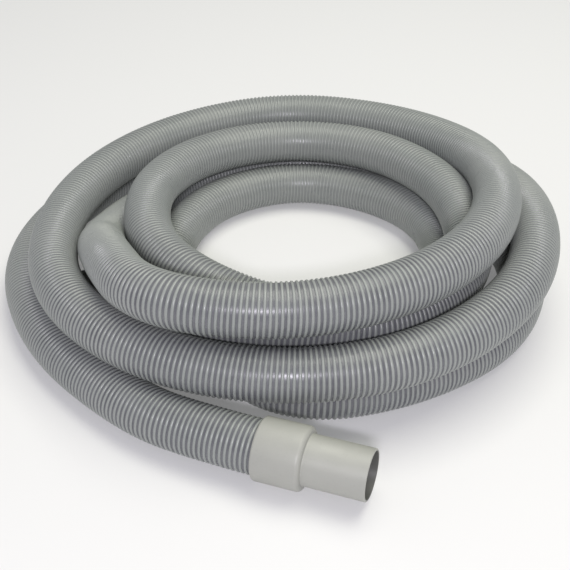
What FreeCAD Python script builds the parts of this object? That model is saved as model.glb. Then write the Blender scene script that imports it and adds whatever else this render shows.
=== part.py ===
"""Vacuum hose: five loose turns of corrugated hose with a cuff on each end.

Millimetres, +Z up. The coil lies on the plane z = 0, and the origin is under the
middle of the coil's box. Seen from above the hose runs clockwise from the swivel
cuff at the front (-Y) to the fixed cuff, which lies low between the turns at the front left.
"""
import FreeCAD, Part
import math
import os

# Hose
HOSE_OD = 47.0
HOSE_ID = 39.0
RUN_SHARE = 0.45          # share of the shorter run that each arc takes

# Both cuffs, measured along the axis from the mouth that the hose enters
CUFF_LENGTH = 93.0
COLLAR_LENGTH = 41.0
COLLAR_R = 26.6
COLLAR_EDGE_R = 2.4
SHOULDER_EDGE_R = 4.5
NOSE_R = 21.2
NOSE_BORE_R = 19.05
NOSE_EDGE_R = 0.7
CHAMBER_END = 38.0
HOSE_ENTRY_R = 24.0       # lip that the hose passes through
FIXED_CHAMBER_R = HOSE_OD / 2 + 0.05
FIXED_INSIDE = 28.0       # how far the hose reaches into the fixed cuff

# Swivel: the cuff turns on a ferrule that is screwed onto the hose
LIP_LENGTH = 3.0
SWIVEL_CHAMBER_R = 25.1
FERRULE_R = 24.8
FERRULE_START = 3.2
FERRULE_END = 35.8
FERRULE_STOP_R = 19.6
FERRULE_STOP_LENGTH = 2.0
SEAL_START = 35.8
SEAL_END = 37.8
SEAL_BORE_R = 20.0
SEAL_R = 24.6

COIL_CENTRE = (6.5, 23.4)

# Route of the hose's centre line, in hose diameters: (degrees clockwise from the
# front, radius from the coil's centre, height)
SPREAD = 1.035            # a curve passes this much inside its corner points
LEAD = [(-2.3, 6.01, 0.60), (13.0, 5.60, 0.57)]
# One row for each turn, at the twelve hours of a clock face seen from above,
# counted clockwise from the front: (radius, height). The lead is the first
# turn's front point.
TURNS = [
    [None, (5.41, 0.50), (5.38, 0.50), (5.62, 0.50), (5.52, 0.50), (5.53, 0.50),
     (5.54, 0.50), (5.66, 0.50), (5.60, 1.12), (5.26, 1.62), (5.25, 1.60), (5.13, 1.46)],
    [(5.00, 1.38), (5.04, 1.43), (5.04, 1.46), (4.80, 1.43), (4.80, 1.43), (4.98, 1.46),
     (5.28, 1.52), (5.13, 1.61), (4.82, 1.92), (4.42, 2.30), (4.32, 2.43), (4.38, 2.46)],
    [(4.56, 2.46), (4.85, 2.52), (4.00, 2.04), (3.82, 0.85), (3.94, 0.50), (4.10, 0.50),
     (4.44, 0.50), (4.60, 0.50), (4.67, 0.50), (5.17, 0.50), (5.06, 0.50), (4.64, 0.50)],
    [(4.36, 0.50), (3.18, 0.50), (2.74, 0.50), (2.49, 0.50), (2.67, 0.50), (3.05, 0.50),
     (3.42, 0.50), (3.57, 0.50), (3.68, 0.50), (3.52, 0.50), (2.80, 0.50), (2.70, 0.75)],
    [(2.76, 1.10), (2.84, 1.48), (2.85, 1.58), (2.95, 1.58), (3.27, 1.54), (3.60, 1.48),
     (3.86, 1.44), (3.98, 1.44), (3.87, 1.50), (3.80, 1.46), (3.75, 1.38), (3.72, 1.46)],
]
TAIL = [(-9.0, 3.80, 1.62), (9.0, 3.86, 1.70), (22.0, 3.87, 1.58), (33.0, 3.96, 1.14),
        (42.5, 4.02, 0.81), (56.0, 3.96, 0.69)]
HOURS = 12


def vector(x, y, z=0.0):
    return FreeCAD.Vector(x, y, z)


def station(degrees, radius, height):
    """A point of the route, from hose diameters to millimetres."""
    angle = math.radians(degrees)
    reach = radius * SPREAD
    place = vector(-reach * math.sin(angle), -reach * math.cos(angle), height) * HOSE_OD
    return place + vector(*COIL_CENTRE)


def route_points():
    """The centre line's corner points, turn by turn: a list of lists."""
    turns = []
    for number, row in enumerate(TURNS):
        points = []
        if number == 0:
            points += [station(*place) for place in LEAD]
        for hour, place in enumerate(row):
            if place is not None:
                points.append(station(360.0 * hour / HOURS, *place))
        turns.append(points)
    turns[-1] += [station(*place) for place in TAIL]
    return turns


def corner_arc(before, corner, after):
    """The tangent arc at one corner, and its radius."""
    to_before = before - corner
    to_after = after - corner
    reach = RUN_SHARE * min(to_before.Length, to_after.Length)
    to_before.normalize()
    to_after.normalize()
    half_turn = (math.pi - to_before.getAngle(to_after)) / 2
    radius = reach / math.tan(half_turn)
    towards = to_before + to_after
    towards.normalize()
    middle = corner + towards * radius * (1 / math.cos(half_turn) - 1)
    arc = Part.Arc(corner + to_before * reach, middle, corner + to_after * reach)
    return arc, radius


def hose_paths():
    """One wire of straight runs and tangent arcs for each turn, and the radii."""
    turns = route_points()
    points = [point for turn in turns for point in turn]
    arcs = []
    radii = []
    for before, corner, after in zip(points, points[1:], points[2:]):
        arc, radius = corner_arc(before, corner, after)
        arcs.append(arc)
        radii.append(radius)
    paths = []
    start = points[0]
    first = 0
    for number, turn in enumerate(turns):
        last_turn = number == len(turns) - 1
        count = len(turn) - (1 if number == 0 else 0) - (1 if last_turn else 0)
        end = points[-1] if last_turn else (
            (arcs[first + count - 1].EndPoint + arcs[first + count].StartPoint) * 0.5)
        edges = []
        here = start
        for arc in arcs[first:first + count]:
            edges.append(Part.LineSegment(here, arc.StartPoint).toShape())
            edges.append(arc.toShape())
            here = arc.EndPoint
        edges.append(Part.LineSegment(here, end).toShape())
        paths.append(Part.Wire(edges))
        start = end
        first += count
    return paths, radii


def tube(path, radius):
    """A solid round bar along one wire."""
    first = path.OrderedEdges[0]
    start = first.valueAt(first.FirstParameter)
    direction = first.tangentAt(first.FirstParameter)
    circle = Part.Wire(Part.makeCircle(radius, start, direction))
    return path.makePipe(Part.Face(circle))


def hose_length(path):
    """A hollow tube along one wire."""
    return tube(path, HOSE_OD / 2).cut(tube(path, HOSE_ID / 2))


def revolved(outline):
    """A closed outline of (along the axis, radius) points, turned about +X."""
    corners = [vector(along, radius) for along, radius in outline]
    profile = Part.Face(Part.makePolygon(corners + corners[:1]))
    return profile.revolve(vector(0, 0), vector(1, 0), 360)


def rounded(solid, places, radius):
    """The solid with the round edges at (along, radius) filleted."""
    edges = []
    for edge in solid.Edges:
        if not isinstance(edge.Curve, Part.Circle):
            continue
        for along, edge_r in places:
            same_place = abs(edge.Curve.Center.x - along) < 0.01
            if same_place and abs(edge.Curve.Radius - edge_r) < 0.01:
                edges.append(edge)
    return solid.makeFillet(radius, edges)


def cuff(chamber_r, chamber_start):
    """A cuff along +X: collar, rounded shoulder and nose, open right through."""
    outline = [
        (0, HOSE_ENTRY_R), (chamber_start, HOSE_ENTRY_R),
        (chamber_start, chamber_r), (CHAMBER_END, chamber_r),
        (CHAMBER_END, NOSE_BORE_R), (CUFF_LENGTH, NOSE_BORE_R),
        (CUFF_LENGTH, NOSE_R), (COLLAR_LENGTH, NOSE_R),
        (COLLAR_LENGTH, COLLAR_R), (0, COLLAR_R),
    ]
    solid = revolved(outline)
    solid = rounded(solid, [(0, COLLAR_R)], COLLAR_EDGE_R)
    solid = rounded(solid, [(COLLAR_LENGTH, COLLAR_R)], SHOULDER_EDGE_R)
    return rounded(solid, [(CUFF_LENGTH, NOSE_R), (CUFF_LENGTH, NOSE_BORE_R)], NOSE_EDGE_R)


def ferrule():
    """The sleeve screwed onto the hose, with a stop ring that the hose butts on."""
    stop_start = FERRULE_END - FERRULE_STOP_LENGTH
    return revolved([
        (FERRULE_START, FIXED_CHAMBER_R), (stop_start, FIXED_CHAMBER_R),
        (stop_start, FERRULE_STOP_R), (FERRULE_END, FERRULE_STOP_R),
        (FERRULE_END, FERRULE_R), (FERRULE_START, FERRULE_R),
    ])


def seal_ring():
    """The flat seal between the ferrule's end and the swivel cuff's shoulder."""
    return revolved([
        (SEAL_START, SEAL_BORE_R), (SEAL_END, SEAL_BORE_R),
        (SEAL_END, SEAL_R), (SEAL_START, SEAL_R),
    ])


def placed(solid, end, inner, inside):
    """Put a piece made along +X on a hose end, whose last length is inside it."""
    outward = end - inner
    outward.normalize()
    turn = FreeCAD.Rotation(vector(1, 0), outward)
    solid.Placement = FreeCAD.Placement(end - outward * inside, turn)
    return solid


def main():
    os.makedirs("parts", exist_ok=True)
    points = [point for turn in route_points() for point in turn]
    paths, radii = hose_paths()
    nodes = {}
    section = math.pi * (HOSE_OD ** 2 - HOSE_ID ** 2) / 4
    for number, path in enumerate(paths, start=1):
        solid = hose_length(path)
        nodes[f"hose_turn_{number}"] = solid
        print(f"turn {number}: {path.Length:.1f} mm long, volume over section times length",
              f"{solid.Volume / (section * path.Length):.4f}")
    print("hose length", f"{sum(path.Length for path in paths):.1f} mm")
    print("radii", " ".join(f"{radius:.0f}" for radius in radii))

    swivel_inside = FERRULE_END - FERRULE_STOP_LENGTH
    near_end = (points[0], points[1], swivel_inside)
    nodes["swivel_cuff"] = placed(cuff(SWIVEL_CHAMBER_R, LIP_LENGTH), *near_end)
    nodes["threaded_ferrule"] = placed(ferrule(), *near_end)
    nodes["seal_ring"] = placed(seal_ring(), *near_end)
    nodes["fixed_cuff"] = placed(cuff(FIXED_CHAMBER_R, LIP_LENGTH), points[-1], points[-2],
                                 FIXED_INSIDE)

    for name, solid in nodes.items():
        solid.exportStep(f"parts/{name}.step")
    box = Part.makeCompound(list(nodes.values())).optimalBoundingBox()
    print("box x", f"{box.XMin:.2f} {box.XMax:.2f}", "y", f"{box.YMin:.2f} {box.YMax:.2f}",
          "z", f"{box.ZMin:.2f} {box.ZMax:.2f}")
    for name, solid in nodes.items():
        print(name, "valid", solid.isValid(), "solids", len(solid.Solids))


main()
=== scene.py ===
"""Vacuum hose: five loose turns of ribbed hose with a cuff on each end, in metres."""
import math

import bpy
import numpy as np
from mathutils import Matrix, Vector

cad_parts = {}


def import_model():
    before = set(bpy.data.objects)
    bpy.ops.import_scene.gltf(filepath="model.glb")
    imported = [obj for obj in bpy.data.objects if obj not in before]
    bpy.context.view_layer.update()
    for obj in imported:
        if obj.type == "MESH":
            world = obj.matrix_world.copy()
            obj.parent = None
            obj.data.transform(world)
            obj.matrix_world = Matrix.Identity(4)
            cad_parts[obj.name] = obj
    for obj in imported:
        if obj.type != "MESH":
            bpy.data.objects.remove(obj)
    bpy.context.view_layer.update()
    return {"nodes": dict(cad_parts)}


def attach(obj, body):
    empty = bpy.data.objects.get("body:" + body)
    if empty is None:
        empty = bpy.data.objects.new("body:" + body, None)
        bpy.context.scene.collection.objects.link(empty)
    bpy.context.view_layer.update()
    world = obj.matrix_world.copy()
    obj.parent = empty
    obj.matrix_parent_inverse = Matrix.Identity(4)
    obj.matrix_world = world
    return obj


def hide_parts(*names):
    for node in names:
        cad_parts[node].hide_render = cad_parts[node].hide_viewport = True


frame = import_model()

MM = 0.001

# Hose
HOSE_D = 47.0 * MM
BORE_R = 19.5 * MM
WALL_R = 22.25 * MM          # the wall between the ribs
RIB_TOP_R = 23.45 * MM
RIB_SINK = 0.2 * MM          # how far a rib's foot goes into the wall
RIB_PITCH = 4.4 * MM
RIB_SHARE = 0.62             # rib width over pitch
RIB_PROFILE_POINTS = 7
RIB_SIDES = 32               # rib segments round the hose
WALL_SIDES = 40
WALL_STEP = 7.0 * MM
RIB_FULLNESS = 0.85          # below 1, a rib's section is fuller than an ellipse
LINE_DETAIL = 24             # spline points for each control point
SHORTEST_STEP = 1e-7         # points of the line nearer than this are one point

# Route of the hose's centre line, in hose diameters, as in the part's source but for
# small moves in turns 3 to 5 and at the start of the tail:
# (degrees clockwise from the front, radius from the coil's centre, height)
COIL_CENTRE = (6.5 * MM, 23.4 * MM)
SPREAD = 1.035
LEAD = [(-2.3, 6.01, 0.60), (13.0, 5.60, 0.57)]
TURNS = [
    [None, (5.41, 0.50), (5.38, 0.50), (5.62, 0.50), (5.52, 0.50), (5.53, 0.50),
     (5.54, 0.50), (5.66, 0.50), (5.60, 1.12), (5.26, 1.62), (5.25, 1.60), (5.13, 1.46)],
    [(5.00, 1.38), (5.04, 1.43), (5.04, 1.46), (4.80, 1.43), (4.80, 1.43), (4.98, 1.46),
     (5.28, 1.52), (5.13, 1.61), (4.82, 1.92), (4.42, 2.30), (4.32, 2.43), (4.38, 2.46)],
    [(4.56, 2.46), (4.85, 2.52), (3.98, 2.03), (3.85, 0.98), (3.94, 0.50), (4.10, 0.50),
     (4.44, 0.50), (4.60, 0.50), (4.67, 0.50), (5.17, 0.50), (5.06, 0.50), (4.64, 0.50)],
    [(4.50, 0.50), (3.18, 0.50), (2.74, 0.50), (2.49, 0.50), (2.67, 0.50), (3.05, 0.50),
     (3.42, 0.50), (3.57, 0.50), (3.68, 0.50), (3.52, 0.50), (2.80, 0.50), (2.70, 0.75)],
    [(2.76, 1.10), (2.84, 1.48), (2.85, 1.58), (2.93, 1.59), (3.27, 1.54), (3.60, 1.48),
     (3.86, 1.44), (3.98, 1.45), (3.87, 1.50), (3.84, 1.46), (4.05, 1.38), (4.08, 1.44)],
]
TAIL = [(-9.0, 3.88, 1.62), (9.0, 3.86, 1.70), (22.0, 3.87, 1.58), (33.0, 3.96, 1.14),
        (42.5, 4.02, 0.81), (56.0, 3.96, 0.69)]
HOURS = 12                   # control points in a turn

# Cuffs, measured along the axis from the mouth that the hose enters
CUFF_LENGTH = 93.0 * MM
COLLAR_LENGTH = 41.0 * MM
COLLAR_R = 26.6 * MM
NOSE_R = 21.2 * MM
NOSE_BORE_R = 19.05 * MM
CHAMBER_END = 38.0 * MM
LIP_R = 24.0 * MM
LIP_LENGTH = 3.0 * MM
SWIVEL_CHAMBER_R = 25.1 * MM
FIXED_CHAMBER_R = 23.55 * MM
SWIVEL_INSIDE = 33.8 * MM    # how far the hose reaches into each cuff
FIXED_INSIDE = 28.0 * MM
LIP_FILLET = 0.6 * MM
MOUTH_FILLET = 2.2 * MM
SHOULDER_FILLET = 4.2 * MM
NECK_FILLET = 0.8 * MM
STEP_FILLET = 1.2 * MM
NOSE_FILLET = 0.9 * MM
CUFF_SIDES = 96
FILLET_POINTS = 6
SEAM_HEIGHT = 0.12 * MM
SEAM_HALF_WIDTH = 0.35 * MM
SEAM_ANGLE = math.pi / CUFF_SIDES
SEAM_FROM_R = 22.25 * MM     # wider parts of a cuff have the seam
BORE_UP_TO_R = (NOSE_BORE_R + NOSE_R) / 2

# Colours, darker first
VINYL = ((0.262, 0.281, 0.267), (0.301, 0.317, 0.300))
# painted shade for the valleys between the ribs
PAINTED_VALLEY_SHADE = ((0.120, 0.123, 0.135), (0.160, 0.164, 0.175))
SCUFF = (0.42, 0.44, 0.42)
CUFF = ((0.335, 0.34, 0.31), (0.375, 0.38, 0.345))
FERRULE = ((0.075, 0.08, 0.085), (0.10, 0.105, 0.11))
RUBBER = ((0.012, 0.012, 0.013), (0.03, 0.03, 0.03))
SCUFF_STRENGTH = 0.35
SPECK_STRENGTH = 0.18
SPECK_SHADE = 0.72           # of the cuff's darker colour
BORE_SHADE = 0.3

# Roughness, from and to
VINYL_ROUGHNESS = (0.25, 0.36)
CUFF_ROUGHNESS = (0.36, 0.5)
RUBBER_ROUGHNESS = (0.65, 0.85)

# Grain: the scale of each noise, in waves per metre
# the second noise here patches the painted valley shade
VINYL_PATCHES, VALLEY_SHADE_PATCHES, SCUFF_MARKS, VINYL_GLOSS = 9.0, 60.0, 240.0, 35.0
VINYL_GRAIN, VINYL_WAVES = 1800.0, 120.0
CUFF_FLOW, CUFF_SPECKS, CUFF_GLOSS, CUFF_GRAIN, CUFF_SINK = 14.0, 420.0, 50.0, 1300.0, 45.0
RUBBER_PATCHES, RUBBER_GLOSS, RUBBER_GRAIN = 300.0, 160.0, 900.0
# Painted shade in the valleys: its least share at the back, full at the front
SHADE_SHALLOW_Y = 0.05           # painted valley shade deepens from here towards the front
SHADE_DEEP_Y = -0.12
SHADE_SHALLOWEST = 0.35
UNSHADED_FROM = 0.75            # share of a rib's height above which it has no painted shade
SCUFFED_FROM = 0.85          # and above which it is scuffed
SCUFF_PATCH = (0.52, 0.72)   # noise levels where scuffs begin and are full
SPECK_PATCH = (0.6, 0.75)

# Camera: the photographed view
VIEW_ELEVATION = 35.0
VIEW_DISTANCE = 1.0105
VIEW_TARGET = (6.5 * MM, 9.3 * MM, 0.0)
LENS = 61.26
SENSOR_WIDTH = 36.0

# Stage
FLOOR_HALF = 6.0
FLOOR_COLOUR = (0.62, 0.62, 0.62)
FLOOR_GLOW = 0.18
FLOOR_ROUGHNESS = 0.9
FLOOR_SPECULAR = 0.1
SKY_COLOUR = (0.92, 0.92, 1.0)
SKY_STRENGTH = 0.38
# Each light's place, the point that it is aimed at, size, power and colour
LIGHTS = {
    "top_softbox": ((0.5, 0.3, 2.4), (0.0, 0.0, 0.0), (2.2, 1.6), 46.0, (1.0, 1.0, 0.87)),
    "front_key": ((0.0, -1.7, 1.1), (0.0, -0.1, 0.05), (0.4, 0.1), 19.0, (0.95, 0.91, 1.0)),
}


# ---------------------------------------------------------------- route

def station(degrees, radius, height):
    """A point of the route, from hose diameters to metres."""
    angle = math.radians(degrees)
    reach = radius * SPREAD * HOSE_D
    return (COIL_CENTRE[0] - reach * math.sin(angle),
            COIL_CENTRE[1] - reach * math.cos(angle),
            height * HOSE_D)


def route_points():
    """The control points of the centre line, end to end."""
    points = [station(*place) for place in LEAD]
    for row in TURNS:
        for hour, place in enumerate(row):
            if place is not None:
                points.append(station(360.0 * hour / HOURS, *place))
    return points + [station(*place) for place in TAIL]


def centre_line(points):
    """Points read from the smooth line that the route controls."""
    curve = bpy.data.curves.new("route", "CURVE")
    curve.dimensions = "3D"
    spline = curve.splines.new("NURBS")
    spline.points.add(len(points) - 1)
    for control, place in zip(spline.points, points):
        control.co = (*place, 1.0)
    spline.order_u = 3
    spline.use_endpoint_u = True
    spline.resolution_u = LINE_DETAIL
    holder = bpy.data.objects.new("route", curve)
    mesh = bpy.data.meshes.new_from_object(holder)
    line = np.array([vertex.co[:] for vertex in mesh.vertices])
    bpy.data.objects.remove(holder)
    bpy.data.curves.remove(curve)
    bpy.data.meshes.remove(mesh)
    return line


class Line:
    """The centre line by its length, with a frame that doesn't twist."""

    def __init__(self, points):
        steps = np.linalg.norm(np.diff(points, axis=0), axis=1)
        keep = np.concatenate([[True], steps > SHORTEST_STEP])
        self.points = points[keep]
        steps = np.linalg.norm(np.diff(self.points, axis=0), axis=1)
        self.along = np.concatenate([[0.0], np.cumsum(steps)])
        self.length = float(self.along[-1])
        tangents = np.gradient(self.points, self.along, axis=0)
        self.tangents = tangents / np.linalg.norm(tangents, axis=1)[:, None]
        side = np.cross(self.tangents[0], (0.0, 0.0, 1.0))
        sides = [side / np.linalg.norm(side)]
        for tangent in self.tangents[1:]:
            side = sides[-1] - tangent * np.dot(sides[-1], tangent)
            sides.append(side / np.linalg.norm(side))
        self.sides = np.array(sides)
        self.ups = np.cross(self.sides, self.tangents)

    def sample(self, values, along):
        return np.stack([np.interp(along, self.along, column) for column in values.T], 1)

    def at(self, along, angle, radius):
        """Points at these lengths, angles round the line and distances from it."""
        centre = self.sample(self.points, along)
        side = self.sample(self.sides, along)
        up = self.sample(self.ups, along)
        across = side * np.cos(angle)[:, None] + up * np.sin(angle)[:, None]
        across /= np.linalg.norm(across, axis=1)[:, None]
        return centre + across * np.asarray(radius).reshape(-1, 1)


# ---------------------------------------------------------------- meshes

def mesh_object(name, points, faces):
    """A smooth mesh object of quads."""
    mesh = bpy.data.meshes.new(name)
    mesh.vertices.add(len(points))
    mesh.vertices.foreach_set("co", np.asarray(points, float).ravel())
    mesh.loops.add(faces.size)
    mesh.loops.foreach_set("vertex_index", faces.ravel().astype(np.int32))
    mesh.polygons.add(len(faces))
    starts = np.arange(0, faces.size, faces.shape[1], dtype=np.int32)
    mesh.polygons.foreach_set("loop_start", starts)
    mesh.update(calc_edges=True)
    mesh.validate()
    mesh.shade_smooth()
    piece = bpy.data.objects.new(name, mesh)
    bpy.context.collection.objects.link(piece)
    return piece


def grid_faces(rows, columns, closed=False):
    """Quads of a grid of points, row by row; a closed grid joins up both ways."""
    row = np.arange(rows if closed else rows - 1)
    column = np.arange(columns if closed else columns - 1)
    row, column = [part.ravel() for part in np.meshgrid(row, column, indexing="ij")]
    next_row = (row + 1) % rows
    next_column = (column + 1) % columns
    corners = [row * columns + column, row * columns + next_column,
               next_row * columns + next_column, next_row * columns + column]
    return np.stack(corners, 1)


def add_value(piece, name, values):
    """A number for each point, which the material reads."""
    attribute = piece.data.attributes.new(name, "FLOAT", "POINT")
    attribute.data.foreach_set("value", np.asarray(values, np.float32))


def hose_wall(line):
    """The hose's wall between the ribs, outside and bore, closed at both ends."""
    rings = int(line.length / WALL_STEP)
    stations = np.linspace(0.0, line.length, rings)
    outside = [(along, WALL_R) for along in stations]
    bore = [(along, BORE_R) for along in stations[::-1]]
    rows = np.array(outside + bore)
    angles = np.arange(WALL_SIDES) * math.tau / WALL_SIDES
    along = np.repeat(rows[:, 0], WALL_SIDES)
    radius = np.repeat(rows[:, 1], WALL_SIDES)
    angle = np.tile(angles, len(rows))
    faces = grid_faces(len(rows), WALL_SIDES, closed=True)
    piece = mesh_object("hose_wall", line.at(along, angle, radius), faces[:, ::-1])
    add_value(piece, "crest", np.zeros(len(along)))
    return piece, line.sample(line.points, stations)


def hose_rib(line, number):
    """The helical rib over one fifth of the hose's length."""
    end_margin = RIB_PITCH
    span = (line.length - 2 * end_margin) / len(TURNS)
    start = end_margin + span * number
    steps = int(round(span / RIB_PITCH * RIB_SIDES))
    along = start + np.linspace(0.0, span, steps + 1)
    angle = along * math.tau / RIB_PITCH
    across = np.sin(np.linspace(-0.5, 0.5, RIB_PROFILE_POINTS) * math.pi)
    height = np.sqrt(np.clip(1.0 - across ** 2, 0.0, 1.0)) ** RIB_FULLNESS
    foot = WALL_R - RIB_SINK
    reach = foot + height * (RIB_TOP_R - foot)
    offset = across * RIB_PITCH * RIB_SHARE / 2
    all_along = (along[:, None] + offset[None, :]).ravel()
    all_angle = np.repeat(angle, RIB_PROFILE_POINTS)
    all_reach = np.tile(reach, len(along))
    faces = grid_faces(len(along), RIB_PROFILE_POINTS)
    points = line.at(all_along, all_angle, all_reach)
    piece = mesh_object(f"hose_rib_{number + 1}", points, faces)
    add_value(piece, "crest", np.tile(height, len(along)))
    return piece


def filleted(corners):
    """A closed outline of (along, radius, fillet) corners with its corners rounded."""
    outline = []
    for number, (along, radius, fillet) in enumerate(corners):
        corner = Vector((along, radius))
        if fillet == 0.0:
            outline.append(corner)
            continue
        before = (Vector(corners[number - 1][:2]) - corner).normalized()
        after = (Vector(corners[(number + 1) % len(corners)][:2]) - corner).normalized()
        half = before.angle(after) / 2
        middle = corner + (before + after).normalized() * fillet / math.sin(half)
        first = corner + before * fillet / math.tan(half) - middle
        last = corner + after * fillet / math.tan(half) - middle
        for step in range(FILLET_POINTS + 1):
            share = step / FILLET_POINTS
            towards = first * math.cos(share * math.pi / 2) + last * math.sin(share * math.pi / 2)
            outline.append(middle + towards)
    return outline


def lathe(name, outline, base, axis):
    """A solid ring: a closed outline turned about an axis, with a fine mould seam."""
    widest = max(point.y for point in outline)
    half_seam = SEAM_HALF_WIDTH / widest
    angles = list(np.arange(CUFF_SIDES) * math.tau / CUFF_SIDES)
    for middle in (SEAM_ANGLE, SEAM_ANGLE + math.pi):
        angles += [middle - half_seam, middle, middle + half_seam]
    angles.sort()
    side = axis.cross(Vector((0.0, 0.0, 1.0))).normalized()
    up = side.cross(axis)
    rows = []
    for point in outline:
        for angle in angles:
            turned = (angle - SEAM_ANGLE) % math.pi
            on_seam = min(turned, math.pi - turned) < half_seam / 2
            raised = on_seam and point.y > SEAM_FROM_R
            reach = point.y + (SEAM_HEIGHT if raised else 0.0)
            across = side * math.cos(angle) + up * math.sin(angle)
            rows.append(base + axis * point.x + across * reach)
    faces = grid_faces(len(outline), len(angles), closed=True)
    piece = mesh_object(name, [tuple(row) for row in rows], faces)
    bore = [float(point.y < BORE_UP_TO_R) for point in outline]
    add_value(piece, "bore", np.repeat(bore, len(angles)))
    return piece


def cuff(name, line_end, line_inner, inside, chamber_r):
    """A cuff on a hose end: collar, rounded shoulder and nose, open right through."""
    end = Vector(line_end)
    axis = (end - Vector(line_inner)).normalized()
    corners = [
        (0.0, LIP_R, LIP_FILLET), (LIP_LENGTH, LIP_R, 0.0),
        (LIP_LENGTH, chamber_r, 0.0), (CHAMBER_END, chamber_r, 0.0),
        (CHAMBER_END, NOSE_BORE_R, STEP_FILLET), (CUFF_LENGTH, NOSE_BORE_R, LIP_FILLET),
        (CUFF_LENGTH, NOSE_R, NOSE_FILLET), (COLLAR_LENGTH, NOSE_R, NECK_FILLET),
        (COLLAR_LENGTH, COLLAR_R, SHOULDER_FILLET), (0.0, COLLAR_R, MOUTH_FILLET),
    ]
    return lathe(name, filleted(corners), end - axis * inside, axis)


# ---------------------------------------------------------------- materials

class Nodes:
    """A material's node tree, built a node at a time."""

    def __init__(self, name):
        self.material = bpy.data.materials.new(name)
        self.material.use_nodes = True
        self.tree = self.material.node_tree
        self.shader = self.tree.nodes["Principled BSDF"]

    def add(self, kind, **values):
        node = self.tree.nodes.new(kind)
        for key, value in values.items():
            if key in node.inputs:
                node.inputs[key].default_value = value
            else:
                setattr(node, key, value)
        return node

    def link(self, source, target):
        self.tree.links.new(source, target)

    def noise(self, scale, detail=3.0, roughness=0.55):
        place = self.add("ShaderNodeTexCoord")
        noise = self.add("ShaderNodeTexNoise", Scale=scale, Detail=detail, Roughness=roughness)
        self.link(place.outputs["Object"], noise.inputs["Vector"])
        return noise.outputs["Fac"]

    def ramp(self, value, colours, places=(0.3, 0.7)):
        ramp = self.add("ShaderNodeValToRGB")
        for element, colour, place in zip(ramp.color_ramp.elements, colours, places):
            element.position = place
            element.color = (*colour, 1.0)
        self.link(value, ramp.inputs["Fac"])
        return ramp.outputs["Color"]

    def spread(self, value, low, high, from_low=0.3, from_high=0.7):
        node = self.add("ShaderNodeMapRange")
        for key, number in zip(("From Min", "From Max", "To Min", "To Max"),
                               (from_low, from_high, low, high)):
            node.inputs[key].default_value = number
        self.link(value, node.inputs["Value"])
        return node.outputs["Result"]

    def mix(self, value, first, second):
        node = self.add("ShaderNodeMix", data_type="RGBA")
        for source, socket in ((value, node.inputs[0]), (first, node.inputs[6]),
                               (second, node.inputs[7])):
            if isinstance(source, tuple):
                socket.default_value = (*source, 1.0)
            else:
                self.link(source, socket)
        return node.outputs[2]

    def bump(self, height, distance, strength=1.0, before=None):
        node = self.add("ShaderNodeBump", Distance=distance, Strength=strength)
        self.link(height, node.inputs["Height"])
        if before is not None:
            self.link(before, node.inputs["Normal"])
        return node.outputs["Normal"]

    def surface(self, colour, roughness, normal):
        """The finished material, with these three on its shader."""
        self.link(colour, self.shader.inputs["Base Color"])
        self.link(roughness, self.shader.inputs["Roughness"])
        self.link(normal, self.shader.inputs["Normal"])
        return self.material


def hose_material():
    """Grey semi-gloss vinyl: painted shade darkens the valleys, more towards the front, and the
    crests are lightly scuffed.
    """
    nodes = Nodes("hose_vinyl")
    crest = nodes.add("ShaderNodeAttribute", attribute_name="crest").outputs["Fac"]
    body = nodes.ramp(nodes.noise(VINYL_PATCHES, 4.0), VINYL)
    # painted shade: a darker, patchy colour for the valleys between the ribs
    valley_shade = nodes.ramp(nodes.noise(VALLEY_SHADE_PATCHES), PAINTED_VALLEY_SHADE, (0.35, 0.65))
    place = nodes.add("ShaderNodeTexCoord")
    axes = nodes.add("ShaderNodeSeparateXYZ")
    nodes.link(place.outputs["Object"], axes.inputs["Vector"])
    # the painted valley shade is deeper towards the front
    shade_depth = nodes.spread(axes.outputs["Y"], SHADE_SHALLOWEST, 1.0, SHADE_SHALLOW_Y, SHADE_DEEP_Y)
    shaded_valley = nodes.mix(shade_depth, body, valley_shade)
    # the wall and lower rib flanks take the painted shade; the rib tops keep the body colour
    colour = nodes.mix(nodes.spread(crest, 0.0, 1.0, 0.0, UNSHADED_FROM), shaded_valley, body)
    scuffs = nodes.spread(nodes.noise(SCUFF_MARKS, 5.0, 0.7), 0.0, SCUFF_STRENGTH, *SCUFF_PATCH)
    worn = nodes.add("ShaderNodeMath", operation="MULTIPLY")
    nodes.link(scuffs, worn.inputs[0])
    nodes.link(nodes.spread(crest, 0.0, 1.0, SCUFFED_FROM, 1.0), worn.inputs[1])
    colour = nodes.mix(worn.outputs[0], colour, SCUFF)
    gloss = nodes.spread(nodes.noise(VINYL_GLOSS), *VINYL_ROUGHNESS)
    grain = nodes.bump(nodes.noise(VINYL_GRAIN, 2.0), 0.04 * MM)
    waves = nodes.bump(nodes.noise(VINYL_WAVES, 2.0), 0.2 * MM, before=grain)
    return nodes.surface(colour, gloss, waves)


def cuff_material(name, colours):
    """Satin moulded plastic with faint flow marks, grain, a little dust and a dim bore."""
    nodes = Nodes(name)
    darker = colours[0]
    colour = nodes.ramp(nodes.noise(CUFF_FLOW, 5.0, 0.6), colours)
    specks = nodes.spread(nodes.noise(CUFF_SPECKS), 0.0, SPECK_STRENGTH, *SPECK_PATCH)
    colour = nodes.mix(specks, colour, tuple(SPECK_SHADE * part for part in darker))
    bore = nodes.add("ShaderNodeAttribute", attribute_name="bore").outputs["Fac"]
    colour = nodes.mix(bore, colour, tuple(BORE_SHADE * part for part in darker))
    gloss = nodes.spread(nodes.noise(CUFF_GLOSS), *CUFF_ROUGHNESS)
    grain = nodes.bump(nodes.noise(CUFF_GRAIN, 2.0), 0.03 * MM)
    sink = nodes.bump(nodes.noise(CUFF_SINK, 2.0), 0.4 * MM, 0.6, before=grain)
    return nodes.surface(colour, gloss, sink)


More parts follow.
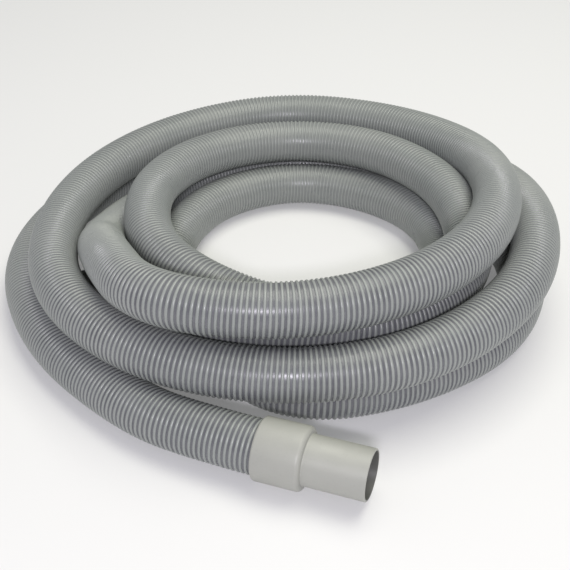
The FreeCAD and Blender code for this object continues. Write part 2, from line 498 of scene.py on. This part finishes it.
def rubber_material():
    """Matt black seal rubber."""
    nodes = Nodes("seal_rubber")
    colour = nodes.ramp(nodes.noise(RUBBER_PATCHES), RUBBER)
    gloss = nodes.spread(nodes.noise(RUBBER_GLOSS), *RUBBER_ROUGHNESS)
    return nodes.surface(colour, gloss, nodes.bump(nodes.noise(RUBBER_GRAIN), 0.05 * MM))


def paint(piece, material):
    """One material all over a piece."""
    piece.data.materials.clear()
    piece.data.materials.append(material)


# ---------------------------------------------------------------- stage

def floor():
    """A plain pale floor."""
    mesh = bpy.data.meshes.new("floor")
    corners = [(x * FLOOR_HALF, y * FLOOR_HALF, 0)
               for x, y in ((-1, -1), (1, -1), (1, 1), (-1, 1))]
    mesh.from_pydata(corners, [], [tuple(range(len(corners)))])
    piece = bpy.data.objects.new("floor", mesh)
    bpy.context.collection.objects.link(piece)
    nodes = Nodes("floor_paint")
    nodes.shader.inputs["Base Color"].default_value = (*FLOOR_COLOUR, 1.0)
    nodes.shader.inputs["Emission Color"].default_value = (1.0, 1.0, 1.0, 1.0)
    nodes.shader.inputs["Emission Strength"].default_value = FLOOR_GLOW
    nodes.shader.inputs["Roughness"].default_value = FLOOR_ROUGHNESS
    nodes.shader.inputs["Specular IOR Level"].default_value = FLOOR_SPECULAR
    paint(piece, nodes.material)


def area_light(name, place, target, size, power, colour):
    """A soft rectangular light that points at a target."""
    light = bpy.data.lights.new(name, "AREA")
    light.shape = "RECTANGLE"
    light.size, light.size_y = size
    light.energy = power
    light.color = colour
    holder = bpy.data.objects.new(name, light)
    holder.location = place
    aim = Vector(target) - Vector(place)
    holder.rotation_euler = aim.to_track_quat("-Z", "Y").to_euler()
    bpy.context.collection.objects.link(holder)


def world():
    """Even pale light from all round."""
    sky = bpy.data.worlds.new("studio")
    sky.use_nodes = True
    background = sky.node_tree.nodes["Background"]
    background.inputs["Color"].default_value = (*SKY_COLOUR, 1.0)
    background.inputs["Strength"].default_value = SKY_STRENGTH
    bpy.context.scene.world = sky


def camera():
    """The camera at the photographed view."""
    lens = bpy.data.cameras.new("camera")
    lens.lens = LENS
    lens.sensor_width = SENSOR_WIDTH
    holder = bpy.data.objects.new("camera", lens)
    angle = math.radians(VIEW_ELEVATION)
    back = Vector((0.0, -math.cos(angle), math.sin(angle))) * VIEW_DISTANCE
    holder.location = Vector(VIEW_TARGET) + back
    holder.rotation_euler = (-back).to_track_quat("-Z", "Y").to_euler()
    bpy.context.collection.objects.link(holder)
    bpy.context.scene.camera = holder


# ---------------------------------------------------------------- the object

def build_hose():
    """The wall and its ribs, and the cuffs at their ends."""
    points = route_points()
    line = Line(centre_line(points))
    vinyl = hose_material()
    wall, path = hose_wall(line)
    ribs = [hose_rib(line, number) for number in range(len(TURNS))]
    for piece in [wall] + ribs:
        paint(piece, vinyl)
        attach(piece, "hose")
    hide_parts(*[f"hose_turn_{number + 1}" for number in range(len(TURNS))])

    plastic = cuff_material("cuff_plastic", CUFF)
    swivel = cuff("swivel_cuff_shell", points[0], points[1], SWIVEL_INSIDE, SWIVEL_CHAMBER_R)
    fixed = cuff("fixed_cuff_shell", points[-1], points[-2], FIXED_INSIDE, FIXED_CHAMBER_R)
    for piece, body, node in ((swivel, "swivel_end", "swivel_cuff"), (fixed, "hose", "fixed_cuff")):
        paint(piece, plastic)
        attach(piece, body)
        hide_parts(node)
    print("hose length", round(line.length, 4))


def paint_hidden_nodes():
    """Materials of the pieces inside the swivel cuff."""
    ferrule = cuff_material("ferrule_plastic", FERRULE)
    paint(frame["nodes"]["threaded_ferrule"], ferrule)
    paint(frame["nodes"]["seal_ring"], rubber_material())


build_hose()
paint_hidden_nodes()
floor()
world()
for light_name, settings in LIGHTS.items():
    area_light(light_name, *settings)
bpy.context.scene.view_settings.view_transform = "Standard"
camera()
